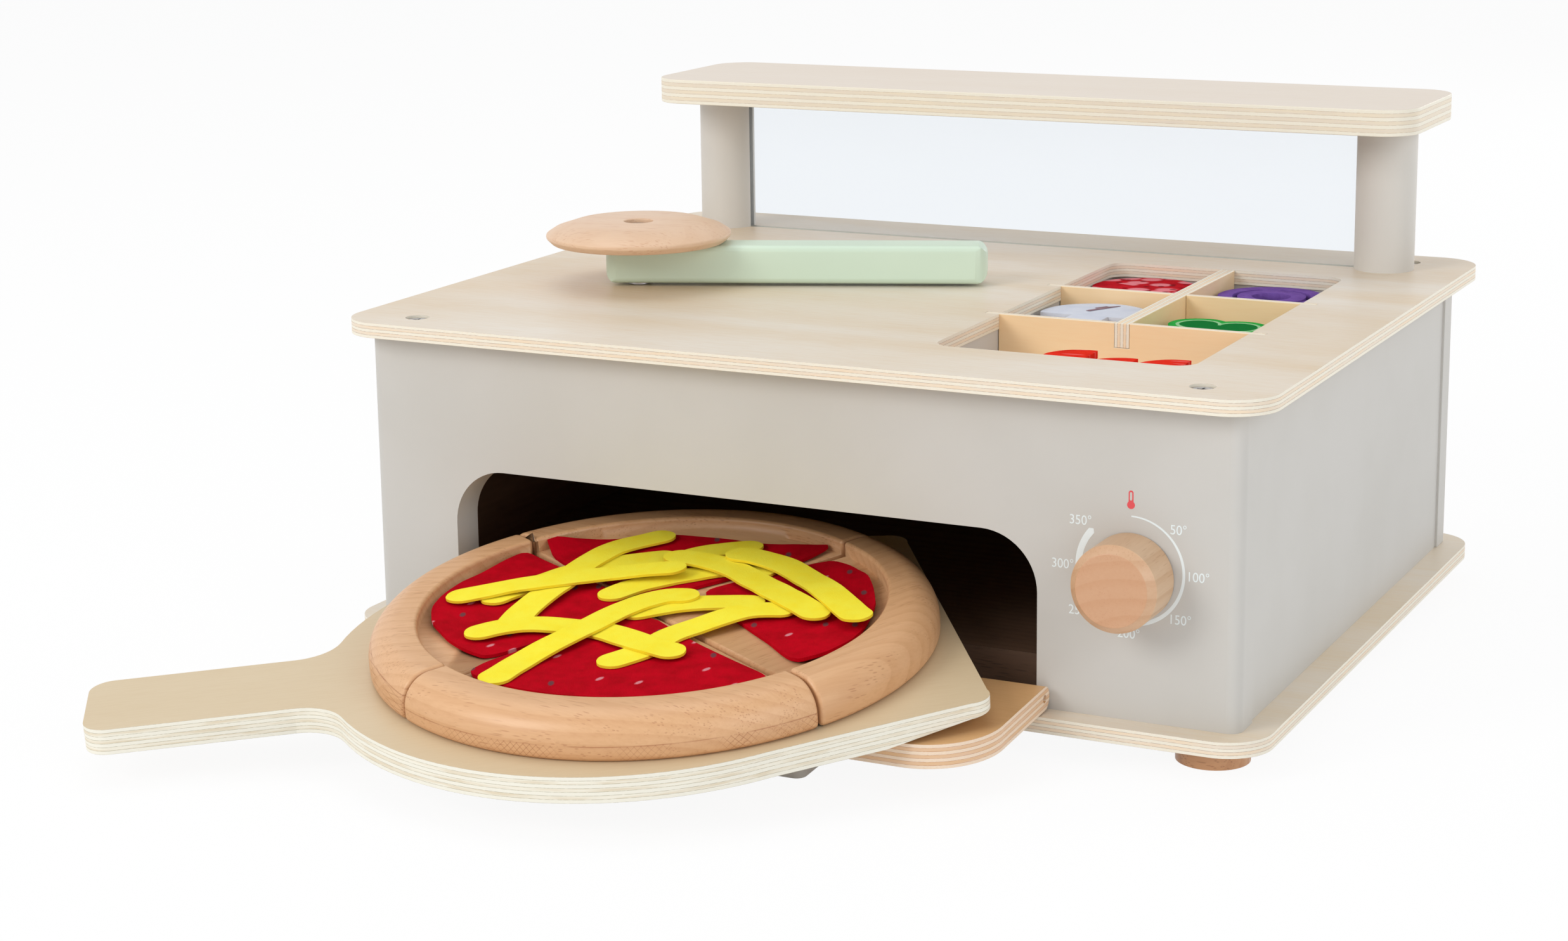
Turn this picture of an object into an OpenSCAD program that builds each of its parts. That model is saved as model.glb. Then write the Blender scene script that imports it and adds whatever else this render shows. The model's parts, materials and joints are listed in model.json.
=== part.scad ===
/* Toy oven in wood with a serving shelf, a bay for felt toppings, a fold-down door and a knob,
   with its peel, its pizza in four slices, the felt strips and the cutter as they lie in use.
   Millimetres, +Z up, the door side faces -Y.
   Origin: on the table, at the middle of the box's footprint. */

/* [Show] */
// sub-part to draw, or all

/* [Box] */
// outer width of the box, left to right
box_w = 360; // [330:1:460]
// outer depth of the box, front to back
box_d = 286; // [260:1:380]
// clear height between base plate and top plate
box_h = 116; // [100:1:170]
// thickness of the upright panels
board_t = 15; // [10:1:18]
// thickness of base plate and top plate
plate_t = 6; // [5:0.5:12]
// how far both plates stand out round the box
plate_over = 10; // [2:1:25]
// corner radius of both plates
plate_r = 18; // [6:1:30]
// how far front and back panel stand proud of the sides
proud = 1; // [0.5:0.5:3]
// rounding of the front and back panels' upright edges
edge_r = 5; // [1:0.5:8]
// thickness of the loose floor board inside the box
hearth_t = 15; // [13:0.5:16]
// height of the feet
foot_h = 10; // [5:1:25]
// diameter of the feet
foot_d = 27; // [20:1:40]
// foot centre in from the box's side
foot_in = 15; // [14:0.5:40]

/* [Opening] */
// centre of the opening, left or right of the box's middle
open_x = -19; // [-30:1:-5]
// width of the opening
open_w = 246; // [246:1:270]
// height of the opening above the oven floor
open_h = 64.6; // [64:0.5:85]
// radius of the opening's two upper corners
open_r = 22; // [8:1:30]

/* [Door] */
// thickness of the door board
door_t = 9; // [8:0.5:12]
// how far the door overlaps the opening at the sides
door_lap = 5.2; // [3:0.1:10]
// how far the door overlaps the opening at the top
door_top_lap = 7; // [3:0.5:12]
// radius of the door's free corners
door_r = 27; // [8:1:32]
// tilt of the open door, down towards its free edge
door_tilt = 3.3; // [0:0.1:4]
// gap between door and base plate, and door and panel
door_gap = 0.7; // [0.5:0.05:1.2]
// radius of the hinge pins
pin_r = 1.5; // [1:0.1:2]
// hinge eye, left and right of the door's middle
eye_x = 85; // [60:1:95]
// length of the grip bar
grip_w = 122; // [60:1:160]
// depth of the grip bar, front to back
grip_d = 20; // [12:1:26]
// thickness of the grip bar
grip_t = 13; // [8:0.5:13.5]

/* [Topping bay] */
// width of the bay's cut-out in the top plate
bay_w = 101.6; // [96:0.2:140]
// length of the bay's cut-out
bay_l = 194.6; // [190:0.2:215]
// centre of the bay, right of the box's middle
bay_x = 97; // [95:1:98]
// centre of the bay, behind the box's middle
bay_y = -8.7; // [-12:0.1:-4]
// depth of the bay below the top plate's face
bay_depth = 18; // [17.6:0.5:30]
// corner radius of the cut-out
bay_r = 8; // [3:1:12]
// thickness of the cross dividers
cross_t = 3; // [2:0.5:5]
// thickness of the long divider
long_t = 6; // [4:0.5:8]
// front cross divider, behind the box's middle
cross_front_y = -38.3; // [-45:0.1:-35]
// rear cross divider, behind the box's middle
cross_rear_y = 27.5; // [25:0.1:30]

/* [Shelf] */
// clear height under the serving shelf
shelf_h = 60.6; // [40:0.5:120]
// width of the shelf
shelf_w = 351; // [345:1:440]
// depth of the shelf, front to back
shelf_d = 79; // [50:1:80]
// thickness of the shelf
shelf_t = 11; // [9:0.5:18]
// diameter of the two posts
post_d = 25; // [22:1:32]
// centre of the posts in from the box's side
post_in = 24; // [20:1:34]
// post line, in front of the box's back face
post_back = 26; // [24:1:34]
// thickness of the clear pane
pane_t = 3; // [2:0.5:4]

/* [Knob] */
// knob centre, right of the box's middle
knob_x = 139.5; // [137:0.1:142]
// knob centre above the oven floor
knob_z = 53.1; // [45:0.1:70]
// diameter of the knob
knob_d = 32; // [24:1:38]
// how far the knob stands out from the panel
knob_h = 20.5; // [16:0.5:28]

/* [Peel and pizza] */
// radius of the peel's blade
blade_r = 111; // [109:0.5:118]
// blade centre to its straight far edge
blade_reach = 118; // [115:0.5:128]
// blade centre to the end of the handle
handle_reach = 196.5; // [170:0.5:260]
// width of the peel's handle
peel_handle_w = 45; // [30:1:60]
// thickness of the peel
peel_t = 9.6; // [6:0.1:9.8]
// outer radius of the pizza
pizza_r = 104; // [96:0.5:105]
// height of the crust
crust_h = 16.2; // [15:0.1:19]
// width of the crust
crust_w = 18.5; // [16:0.5:21]
// thickness of the slices inside the crust
slice_t = 10.6; // [6:0.1:11.4]
// rounding of the crust's outer shoulder
crust_r = 11; // [6:0.5:12]
// thickness of the felt strips and sauce pieces
felt_t = 2; // [1.5:0.1:2.4]
// width of the felt strips
strip_w = 13; // [8:0.5:13.5]

/* [Toppings] */
// thickness of a felt topping
topping_t = 3; // [2:0.1:3.2]
// diameter of a salami round
salami_d = 44; // [36:0.5:45]
// outer diameter of an onion ring
onion_d = 44; // [40:0.5:45]
// width of an onion ring
onion_w = 6; // [4:0.5:7]
// overall size of a pepper slice
pepper_d = 40; // [34:0.5:44]
// width of a mushroom's cap
mushroom_w = 44; // [36:0.5:45]
// diameter of a tomato slice
tomato_d = 29; // [24:0.5:30]
// gap between the nearest tomato slices and the bay's front wall
tomato_gap = 0.6; // [0.3:0.1:2]

/* [Cutter] */
// diameter of the cutter's wheel
wheel_d = 77; // [60:1:80]
// thickness of the wheel
wheel_t = 8.6; // [5:0.1:12]
// overall length of the cutter's handle
cutter_l = 158.5; // [130:0.5:180]
// width of the handle
cutter_w = 18; // [16:0.5:22]
// height of the handle
cutter_h = 16; // [12:0.5:20]

/* [Hidden] */
$fn = 96;
e = 0.5;                        // overshoot of cutting bodies
gap = 0.3;                      // air between pieces that only lie on each other
fit = 0.05;                     // radial clearance of dowels, screws and pins
z_base = foot_h;                // underside of the base plate
z_floor = foot_h + plate_t;     // oven floor
z_under = z_floor + box_h;      // underside of the top plate
z_top = z_under + plate_t;      // top face of the top plate
z_shelf = z_top + shelf_h;      // underside of the serving shelf
plate_w = box_w + 2*plate_over;
plate_d = box_d + 2*plate_over;
side_x = box_w/2 - proud - board_t/2;   // middle of a side panel
foot_y = box_d/2 - 17.5;
dowel_r = 4;                    // panel and post dowels
dowel_in = 10;                  // their depth in the front and back panels
dowel_z = [z_floor + 24, z_floor + box_h - 20];
screw_r = 1.8;                  // plate screws
screw_head_r = 3.7;
screw_x = box_w/2 - 18;
screw_y = box_d/2 - board_t/2;
screw_sink = 3.4;               // depth of the counterbores
sink_r = 4.7;
screw_l = 24;
slot_w = pane_t + 0.4;          // groove for the pane
groove = 3;                     // depth of the groove in plate and shelf
post_x = box_w/2 - post_in;
post_y = box_d/2 - post_back;
bay_in_w = bay_w + 1.4;         // between the bay's walls
bay_in_l = bay_l + 1.6;
bay_wall = 6;
bay_floor_t = 4;
z_bay = z_top - bay_depth;
lap = 9.6;                      // depth of the half-lap joints
tab = 6;                        // dividers' tabs reach this far into the plate
cell_w = (bay_w - long_t)/2;    // width of one compartment
cell_x = [bay_x - long_t/2 - cell_w/2, bay_x + long_t/2 + cell_w/2];
bay_front = bay_y - bay_l/2;
bay_back = bay_y + bay_l/2;
mid_y = (cross_front_y + cross_rear_y)/2;
rear_y = (cross_rear_y + cross_t/2 + bay_back)/2;
axis_y = -box_d/2 - door_t/2 - door_gap + 0.3;   // door hinge line
axis_z = z_floor + door_t/2 + door_gap;
door_w = open_w + 2*door_lap;
door_reach = open_h + door_top_lap - (axis_z - z_floor);
grip_y = -door_reach + 4.5 + grip_d/2;
eye_r = 4.2;
eye_w = 14;
pin_l = door_w/2 - eye_x + eye_w/2 + 6;
floor_gap = 0.2;                // air round the loose floor board
// the peel lies on two lines: the door's free edge and the front edge of the floor board
lip_y = axis_y - door_reach*cos(door_tilt) - door_t/2*sin(door_tilt);
lip_z = axis_z - door_reach*sin(door_tilt) + door_t/2*cos(door_tilt);
hearth_y = -box_d/2 + board_t + floor_gap;
peel_tilt = atan2(z_floor + hearth_t - lip_z, hearth_y - lip_y);
peel_x = -37;                   // blade centre, from the box's middle
peel_v = 24.8;                  // and from the door's free edge, along the peel
peel_turn = 34.9;               // direction of the blade's far edge
blade_taper = 15.1;             // angle of the blade's straight flanks
handle_r = 9;                   // corners of the handle's end
pizza_x = -30;
pizza_v = 31.9;
seam = -28.5;                   // direction of the cut between the front and right slices
cut_gap = 0.5;                  // each slice stands out this far from the middle
crust_in = pizza_r - crust_w;
wheel_x = -118.2;               // cutter's pin on the top plate
wheel_y = -34.7;
cutter_turn = 21.5;
cutter_back = 13.5;             // pin to the handle's near end
cap_h = 1.2;                    // the pin's cap lifts the handle off the plate
wheel_z = cap_h + cutter_h + 0.5;
steel = [0.75, 0.75, 0.76];
grey = [0.78, 0.76, 0.72];
birch = [0.89, 0.86, 0.80];
beech = [0.82, 0.65, 0.47];

// a rectangle with four round corners
module rrect(w, d, r) {
  square([w - 2*r, d], center = true);
  square([w, d - 2*r], center = true);
  for (sx = [-1, 1], sy = [-1, 1]) translate([sx*(w/2 - r), sy*(d/2 - r)]) circle(r = r);
}
module corners(x, y) for (sx = [-1, 1], sy = [-1, 1]) translate([sx*x, sy*y, 0]) children();
// a countersunk screw, head up, its head's top face at z = 0
module screw(l, r, head_r, head_h) {
  translate([0, 0, -l]) cylinder(r = r, h = l - head_h/2);
  difference() {
    translate([0, 0, -head_h]) cylinder(r = head_r, h = head_h);
    for (a = [0, 90]) rotate([0, 0, a])
      translate([-head_r*0.55, -head_r*0.11, -head_h*0.5]) cube([head_r*1.1, head_r*0.22, head_h]);
  }
}

// ---- box ----
module base_plate() color(birch) difference() {
  translate([0, 0, z_base]) linear_extrude(plate_t) rrect(plate_w, plate_d, plate_r);
  corners(box_w/2 - foot_in, foot_y) translate([0, 0, z_base - e]) cylinder(r = screw_r + fit, h = 5.5 + e);
  for (s = [-1, 1]) translate([open_x + s*eye_x, -box_d/2 + 9, z_floor - 5]) cylinder(r = 1.2 + fit, h = 5 + e);
}
module feet() color(beech) corners(box_w/2 - foot_in, foot_y) difference() {
  cylinder(d = foot_d, h = foot_h);
  translate([0, 0, -e]) cylinder(r = 4.5, h = 4 + e);
  cylinder(r = screw_r + fit, h = foot_h + e);
}
module foot_screws() color(steel) corners(box_w/2 - foot_in, foot_y)
  translate([0, 0, 1.5]) rotate([180, 0, 0]) screw(foot_h + 5.3 - 1.5, screw_r, screw_head_r, 2.5);
module oven_floor() color([0.25, 0.2, 0.16])
  translate([-box_w/2 + proud + board_t + floor_gap, hearth_y, z_floor])
    cube([box_w - 2*(proud + board_t + floor_gap), -2*hearth_y, hearth_t]);
// a front or back panel, its outer face towards -Y
module end_panel() translate([0, -box_d/2, z_floor]) linear_extrude(box_h) union() {
  translate([-box_w/2, edge_r]) square([box_w, board_t - edge_r]);
  translate([-box_w/2 + edge_r, 0]) square([box_w - 2*edge_r, board_t]);
  for (s = [-1, 1]) translate([s*(box_w/2 - edge_r), edge_r]) circle(r = edge_r);
}
module end_bores() {
  for (s = [-1, 1], z = dowel_z) translate([s*side_x, -box_d/2 + board_t - dowel_in, z])
    rotate([-90, 0, 0]) cylinder(r = dowel_r + fit, h = dowel_in + e);
  for (s = [-1, 1]) translate([s*screw_x, -screw_y, z_under - screw_l + 1])
    cylinder(r = screw_r + fit, h = screw_l);
}
module opening2d() {
  translate([-open_w/2, -e]) square([open_w, open_h - open_r + e]);
  translate([-open_w/2 + open_r, 0]) square([open_w - 2*open_r, open_h]);
  for (s = [-1, 1]) translate([s*(open_w/2 - open_r), open_h - open_r]) circle(r = open_r);
}
module front_panel() color(grey) difference() {
  end_panel();
  end_bores();
  translate([open_x, -box_d/2 + board_t + e, z_floor]) rotate([90, 0, 0])
    linear_extrude(board_t + 2*e) opening2d();
  translate([knob_x, -box_d/2 - e, z_floor + knob_z]) rotate([-90, 0, 0])
    cylinder(r = 4 + 0.06, h = board_t + 2*e);
}
module back_panel() color(grey) rotate([0, 0, 180]) difference() {
  end_panel();
  end_bores();
}
module side_panel() difference() {
  translate([side_x - board_t/2, -box_d/2 + board_t, z_floor])
    cube([board_t, box_d - 2*board_t, box_h]);
  for (a = [0, 180], z = dowel_z) translate([side_x, 0, z]) rotate([0, 0, a])
    translate([0, -box_d/2 + board_t - e, 0]) rotate([-90, 0, 0]) cylinder(r = dowel_r + fit, h = 21 + e);
}
module left_panel() color(grey) mirror([1, 0, 0]) side_panel();
module right_panel() color(grey) side_panel();
module panel_dowels() color(beech) for (a = [0, 180], s = [-1, 1], z = dowel_z) rotate([0, 0, a])
  translate([s*side_x, -box_d/2 + board_t - dowel_in, z]) rotate([-90, 0, 0])
    cylinder(r = dowel_r, h = dowel_in + 20);
module top_plate() color(birch) difference() {
  translate([0, 0, z_under]) linear_extrude(plate_t) rrect(plate_w, plate_d, plate_r);
  translate([bay_x, bay_y, z_under - e]) linear_extrude(plate_t + 2*e) rrect(bay_w, bay_l, bay_r);
  for (y = [cross_front_y, cross_rear_y]) translate([bay_x, y, z_top - plate_t/2])
    cube([bay_w + 2*tab + 0.4, cross_t + 0.3, plate_t + 2*e], center = true);
  translate([0, post_y, z_top]) cube([2*post_x, slot_w, 2*groove], center = true);
  for (s = [-1, 1]) translate([s*post_x, post_y, z_under - e]) cylinder(r = dowel_r + fit, h = plate_t + 2*e);
  corners(screw_x, screw_y) {
    translate([0, 0, z_under - e]) cylinder(r = screw_r + fit, h = plate_t + 2*e);
    translate([0, 0, z_top - screw_sink]) cylinder(r = sink_r, h = screw_sink + e);
  }
}
module top_screws() color(steel) corners(screw_x, screw_y)
  translate([0, 0, z_top - 0.9]) screw(screw_l + 3, screw_r, screw_head_r, 2.5);

// ---- topping bay ----
module bay_floor() color(birch) translate([bay_x, bay_y, z_bay - bay_floor_t/2])
  cube([bay_in_w + 2*bay_wall, bay_in_l + 2*bay_wall, bay_floor_t], center = true);
module bay_side() translate([bay_in_w/2, -bay_in_l/2 - bay_wall, z_bay])
  cube([bay_wall, bay_in_l + 2*bay_wall, z_under - z_bay]);
module bay_end() translate([-bay_in_w/2, bay_in_l/2, z_bay])
  cube([bay_in_w, bay_wall, z_under - z_bay]);
module bay_wall_left() color(grey) translate([bay_x, bay_y, 0]) mirror([1, 0, 0]) bay_side();
module bay_wall_right() color(grey) translate([bay_x, bay_y, 0]) bay_side();
module bay_wall_front() color(grey) translate([bay_x, bay_y, 0]) mirror([0, 1, 0]) bay_end();
module bay_wall_rear() color(grey) translate([bay_x, bay_y, 0]) bay_end();
module cross_divider() difference() {
  union() {
    translate([-bay_w/2 - tab, -cross_t/2, z_under]) cube([bay_w + 2*tab, cross_t, plate_t]);
    translate([-bay_w/2 - 0.4, -cross_t/2, z_bay]) cube([bay_w + 0.8, cross_t, z_under - z_bay + e]);
  }
  translate([-long_t/2 - 0.1, -cross_t, z_top - lap - 0.1]) cube([long_t + 0.2, 2*cross_t, lap + e]);
}
module divider_front() color(birch) translate([bay_x, cross_front_y, 0]) cross_divider();
module divider_rear() color(birch) translate([bay_x, cross_rear_y, 0]) cross_divider();
module divider_long() color(birch) difference() {
  translate([bay_x - long_t/2, cross_front_y - cross_t/2, z_bay])
    cube([long_t, bay_back - 0.2 - cross_front_y + cross_t/2, bay_depth]);
  for (y = [cross_front_y, cross_rear_y]) translate([bay_x - long_t, y - cross_t/2 - 0.1, z_bay - e])
    cube([2*long_t, cross_t + 0.2, bay_depth - lap + e]);
  translate([bay_x - long_t, cross_front_y - cross_t, z_bay - e])
    cube([2*long_t, cross_t, bay_depth - lap + e]);
}

// ---- serving shelf ----
module post() difference() {
  translate([post_x, post_y, z_top]) cylinder(d = post_d, h = shelf_h);
  translate([post_x - post_d/2 - e, post_y - slot_w/2, z_top - e]) cube([post_d/2 - 4.6 + e, slot_w, shelf_h + 2*e]);
  for (z = [z_top - e, z_shelf - 12.5]) translate([post_x, post_y, z]) cylinder(r = dowel_r + fit, h = 12.5 + e);
}
module post_left() color(grey) mirror([1, 0, 0]) post();
module post_right() color(grey) post();
module post_dowels() color(beech) for (s = [-1, 1], z = [z_under, z_shelf - 12.3])
  translate([s*post_x, post_y, z]) cylinder(r = dowel_r, h = 18);
module clear_pane() color([0.85, 0.9, 0.93, 0.35])
  translate([-post_x + 4.8, post_y - pane_t/2, z_top - groove])
    cube([2*post_x - 9.6, pane_t, shelf_h + 2*groove - 0.2]);
module serving_shelf() color(birch) difference() {
  translate([0, post_y + 1, z_shelf]) linear_extrude(shelf_t) rrect(shelf_w, shelf_d, 15.5);
  translate([0, post_y, z_shelf]) cube([2*post_x, slot_w, 2*groove], center = true);
  for (s = [-1, 1]) translate([s*post_x, post_y, z_shelf - e]) cylinder(r = dowel_r + fit, h = 5.7 + e);
}

// ---- door ----
// the door's own frame: hinge line at the origin, board towards -Y
module at_hinge() translate([open_x, axis_y, axis_z]) rotate([door_tilt, 0, 0]) children();
module hinge_eyes() color(steel) for (s = [-1, 1]) translate([open_x + s*eye_x, 0, 0]) difference() {
  union() {
    translate([-eye_w/2, axis_y, axis_z]) rotate([0, 90, 0]) cylinder(r = eye_r, h = eye_w);
    translate([-eye_w/2, axis_y, z_floor]) cube([eye_w, -box_d/2 + 15 - axis_y, 2.4]);
  }
  translate([-eye_w/2 - e, axis_y, axis_z]) rotate([0, 90, 0]) cylinder(r = pin_r + fit, h = eye_w + 2*e);
  translate([0, -box_d/2 + 9, z_floor - e]) cylinder(r = 1.2 + fit, h = 4);
}
module eye_screws() color(steel) for (s = [-1, 1])
  translate([open_x + s*eye_x, -box_d/2 + 9, z_floor + 4.2]) screw(9, 1.2, 2.6, 1.8);
module door_board() color([0.80, 0.63, 0.43]) at_hinge() difference() {
  union() {
    translate([0, 0, -door_t/2]) linear_extrude(door_t) union() {
      translate([-door_w/2, -door_reach + door_r]) square([door_w, door_reach - door_r]);
      translate([-door_w/2 + door_r, -door_reach]) square([door_w - 2*door_r, door_reach]);
      for (s = [-1, 1]) translate([s*(door_w/2 - door_r), -door_reach + door_r]) circle(r = door_r);
    }
    translate([-door_w/2, 0, 0]) rotate([0, 90, 0]) cylinder(d = door_t, h = door_w);
  }
  for (s = [-1, 1]) translate([s*eye_x, 0, 0]) {
    cube([eye_w + 1, 2*(eye_r + 0.8), door_t + 2], center = true);
  }
  for (s = [-1, 1]) scale([s, 1, 1]) translate([door_w/2 - pin_l - 1, 0, 0]) rotate([0, 90, 0])
    cylinder(r = pin_r, h = pin_l + 1 + e);
  for (s = [-1, 1]) translate([s*grip_w*0.33, grip_y, 0]) {
    translate([0, 0, -door_t/2 - e]) cylinder(r = 1.6, h = door_t + 2*e);
    translate([0, 0, door_t/2 - 2.6]) cylinder(r = 3.8, h = 2.6 + e);
  }
}
module hinge_pins() color(steel) at_hinge() for (s = [-1, 1]) scale([s, 1, 1])
  translate([door_w/2 - pin_l - 1, 0, 0]) rotate([0, 90, 0]) cylinder(r = pin_r, h = pin_l);
module door_grip() color(grey) at_hinge() difference() {
  translate([0, grip_y, -door_t/2 - grip_t]) linear_extrude(grip_t) rrect(grip_w, grip_d, 4);
  for (s = [-1, 1]) translate([s*grip_w*0.33, grip_y, -door_t/2 - 9]) cylinder(r = 1.6, h = 9 + e);
}
module grip_screws() color(steel) at_hinge() for (s = [-1, 1])
  translate([s*grip_w*0.33, grip_y, door_t/2 - 0.4]) screw(door_t + 8 - 0.4, 1.6, 3.5, 2.2);

// ---- knob ----
// the knob's own frame: panel face at z = 0, outwards towards +Z
module at_knob() translate([knob_x, -box_d/2, z_floor + knob_z]) rotate([90, 0, 0]) children();
module knob() color(beech) at_knob() rotate_extrude() polygon([[4, 0.8], [8.6, 0.8], [8.6, 0.3],
  [knob_d/2, 0.3], [knob_d/2, knob_h - 2.8], [knob_d/2 - 2.8, knob_h], [0, knob_h], [0, 14], [4, 14]]);
module knob_spindle() color(beech) at_knob() translate([0, 0, -board_t - 5.5]) cylinder(r = 4, h = board_t + 19.5);
module knob_washer() color(steel) at_knob() difference() {
  cylinder(r = 8.2, h = 0.8);
  translate([0, 0, -e]) cylinder(r = 4.06, h = 2);
}
module knob_collar() color(beech) at_knob() translate([0, 0, -board_t - 5.3]) difference() {
  cylinder(r = 9, h = 5);
  translate([0, 0, -e]) cylinder(r = 4, h = 6);
}

// ---- peel and pizza ----
// the peel's frame: its underside, with the door's free edge at the origin
module on_peel(h) translate([0, lip_y, lip_z]) rotate([peel_tilt, 0, 0]) translate([0, 0, h]) children();
module peel_board() {
  d = 0.3;                      // keeps the straight lines just inside the arcs
  n = [sin(blade_taper), cos(blade_taper)];
  rc = 8;                       // far corners
  cy = (blade_r - rc - (blade_reach - rc)*n[0])/n[1];
  flank = [(blade_r - d)*n, [blade_reach - rc, cy] + (rc - d)*n, [blade_reach - d, cy]];
  fr = 18;                      // fillets between handle and blade
  hw = peel_handle_w/2;
  fy = hw + fr;
  fx = -sqrt(pow(blade_r + fr, 2) - fy*fy);
  u = -[fx, fy]/norm([fx, fy]); // from a fillet's centre to the blade's
  b = [fx, fy] + (fr + d)*u;
  half = [[fx, hw - d], b, b + 20*u];
  cylinder(r = blade_r, h = peel_t);
  linear_extrude(peel_t) polygon(concat(flank, [for (i = [2:-1:0]) [flank[i][0], -flank[i][1]]]));
  for (s = [-1, 1]) translate([blade_reach - rc, s*cy]) cylinder(r = rc, h = peel_t);
  linear_extrude(peel_t) translate([(-handle_reach - 80)/2, 0])
    rrect(handle_reach - 80, peel_handle_w, handle_r);
  difference() {
    linear_extrude(peel_t) polygon(concat(half, [for (i = [2:-1:0]) [half[i][0], -half[i][1]]]));
    for (s = [-1, 1]) translate([fx, s*fy, -1]) cylinder(r = fr, h = peel_t + 2);
  }
}
module at_peel() on_peel(gap) translate([peel_x, peel_v, 0]) rotate([0, 0, peel_turn]) children();
module peel() color([0.87, 0.79, 0.66]) at_peel() difference() {
  peel_board();
  rotate([90, 0, 0]) translate([0, 0, -blade_r]) linear_extrude(2*blade_r)
    polygon([[blade_reach - 40, 0], [blade_reach + 1, peel_t*0.5], [blade_reach + 1, -1], [blade_reach - 40, -1]]);
}
// the pizza's own frame: under the slices, turned so that a slice fills the quarter +X +Y
module at_slice(k) on_peel(gap + peel_t + gap) translate([pizza_x, pizza_v, 0]) rotate([0, 0, seam + 90*k])
  translate([cut_gap, cut_gap, 0]) children();
module crust2d() {
  ri = 1.5;                     // rounding of the rim's inner edge
  rb = 2;                       // and of its lower outer edge
  square([crust_in + 1, slice_t]);
  translate([crust_in, 0]) square([crust_w - rb, crust_h - crust_r]);
  translate([crust_in, rb]) square([crust_w, crust_h - crust_r - rb]);
  translate([crust_in, slice_t/2]) square([crust_w - crust_r, crust_h - ri - slice_t/2]);
  translate([crust_in + ri, slice_t/2]) square([crust_w - crust_r - ri, crust_h - slice_t/2]);
  translate([pizza_r - rb, rb]) circle(r = rb);
  translate([crust_in + ri, crust_h - ri]) circle(r = ri);
  intersection() {
    translate([pizza_r - crust_r, crust_h - crust_r]) circle(r = crust_r);
    translate([crust_in + ri, 0]) square(crust_w + crust_h);
  }
}
module at_pad(h = 0) for (swap = [0, 1]) mirror(swap*[1, -1, 0])
  translate([crust_in + crust_w/2, h, crust_h/2]) rotate([-90, 0, 0]) children();
module slice(k) at_slice(k) difference() {
  rotate_extrude(angle = 90) crust2d();
  at_pad(-e) cylinder(r = 4.7, h = 0.6 + e);
}
module pads(k) at_slice(k) at_pad(-0.3) cylinder(r = 4.5, h = 0.9);
module sauce(k) at_slice(k) translate([3, 3, slice_t]) intersection() {
  cylinder(r = crust_in - 7, h = felt_t);
  cube([crust_in, crust_in, felt_t]);
}
module slice_right() color(beech) slice(0);
module slice_rear() color(beech) slice(1);
module slice_left() color(beech) slice(2);
module slice_front() color(beech) slice(3);
module pads_right() color([0.75, 0.65, 0.5]) pads(0);
module pads_rear() color([0.75, 0.65, 0.5]) pads(1);
module pads_left() color([0.75, 0.65, 0.5]) pads(2);
module pads_front() color([0.75, 0.65, 0.5]) pads(3);
module sauce_right() color([0.75, 0.0, 0.08]) sauce(0);
module sauce_rear() color([0.75, 0.0, 0.08]) sauce(1);
module sauce_left() color([0.75, 0.0, 0.08]) sauce(2);
module sauce_front() color([0.75, 0.0, 0.08]) sauce(3);
// a strip of felt bent sideways in an arc, with round ends
module strip(l, sag, t) {
  r = (l*l/4 + sag*sag)/(2*sag);
  a = asin(l/2/r);
  translate([0, sag - r, 0]) {
    rotate([0, 0, 90 - a]) rotate_extrude(angle = 2*a) translate([r - strip_w/2, 0]) square([strip_w, t]);
    for (s = [-1, 1]) rotate([0, 0, 90 + s*a]) translate([r, 0, 0]) cylinder(d = strip_w, h = t);
  }
}
// strips, from the lowest up: middle of the chord, its direction, length, bend, and layer
STRIPS = [[-43, 20, 55, 61, 5.5, 0], [0, 27, 42, 49, 6, 0], [13, 5, 31, 32, 2.6, 0], [28, -18, 60, 63, 5.2, 0],
  [-3, 57, 48, 17, 1, 0], [-39, 15, 84, 90, 10.5, 1], [23, 30, -22, 69, 5.1, 1], [-10, -37, 6, 65, 9.9, 2],
  [42, 35, -30, 70, 6.6, 2], [-43, 11, 35, 70, 6.5, 2], [-8, -34, 72, 83, 9.4, 3]];
module cheese_strips() color([1, 0.9, 0.15]) on_peel(2*gap + peel_t) translate([pizza_x, pizza_v, 0])
  for (q = STRIPS) translate([q[0], q[1], slice_t + felt_t + gap + 0.2 + q[5]*(felt_t + gap)])
    rotate([0, 0, q[2]]) strip(q[3], q[4], felt_t);

// ---- cutter ----
module at_cutter() translate([wheel_x, wheel_y, z_top]) rotate([0, 0, cutter_turn]) children();
module cutter_handle() color([0.84, 0.91, 0.83]) at_cutter() difference() {
  translate([cutter_l/2 - cutter_back, 0, cap_h]) intersection() {
    linear_extrude(cutter_h) rrect(cutter_l, cutter_w, 6);
    translate([-cutter_l/2 - 1, 0, cutter_h/2]) rotate([90, 0, 90]) linear_extrude(cutter_l + 2) rrect(cutter_w, cutter_h, 3);
    translate([0, cutter_w/2 + 1, cutter_h/2]) rotate([90, 0, 0]) linear_extrude(cutter_w + 2) rrect(cutter_l, cutter_h, 5);
  }
  cylinder(r = 3 + fit, h = wheel_z);
}
module cutter_wheel() color([0.88, 0.69, 0.49]) at_cutter() translate([0, 0, wheel_z]) rotate_extrude()
  polygon([[3.06, 0], [wheel_d/2 - 2.5, 0], [wheel_d/2, 2.4], [wheel_d/2, wheel_t - 4.8],
    [wheel_d/2 - 3.5, wheel_t - 2.6], [wheel_d*0.35, wheel_t], [6, wheel_t], [6, wheel_t - 3.2], [3.06, wheel_t - 3.2]]);
module cutter_pin() color(steel) at_cutter() {
  translate([0, 0, 0.9]) cylinder(r = 3, h = wheel_z + wheel_t - 3.0 - 0.9);
  translate([0, 0, wheel_z + wheel_t - 3.0]) cylinder(r = 5.2, h = 1.4);
}
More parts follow.
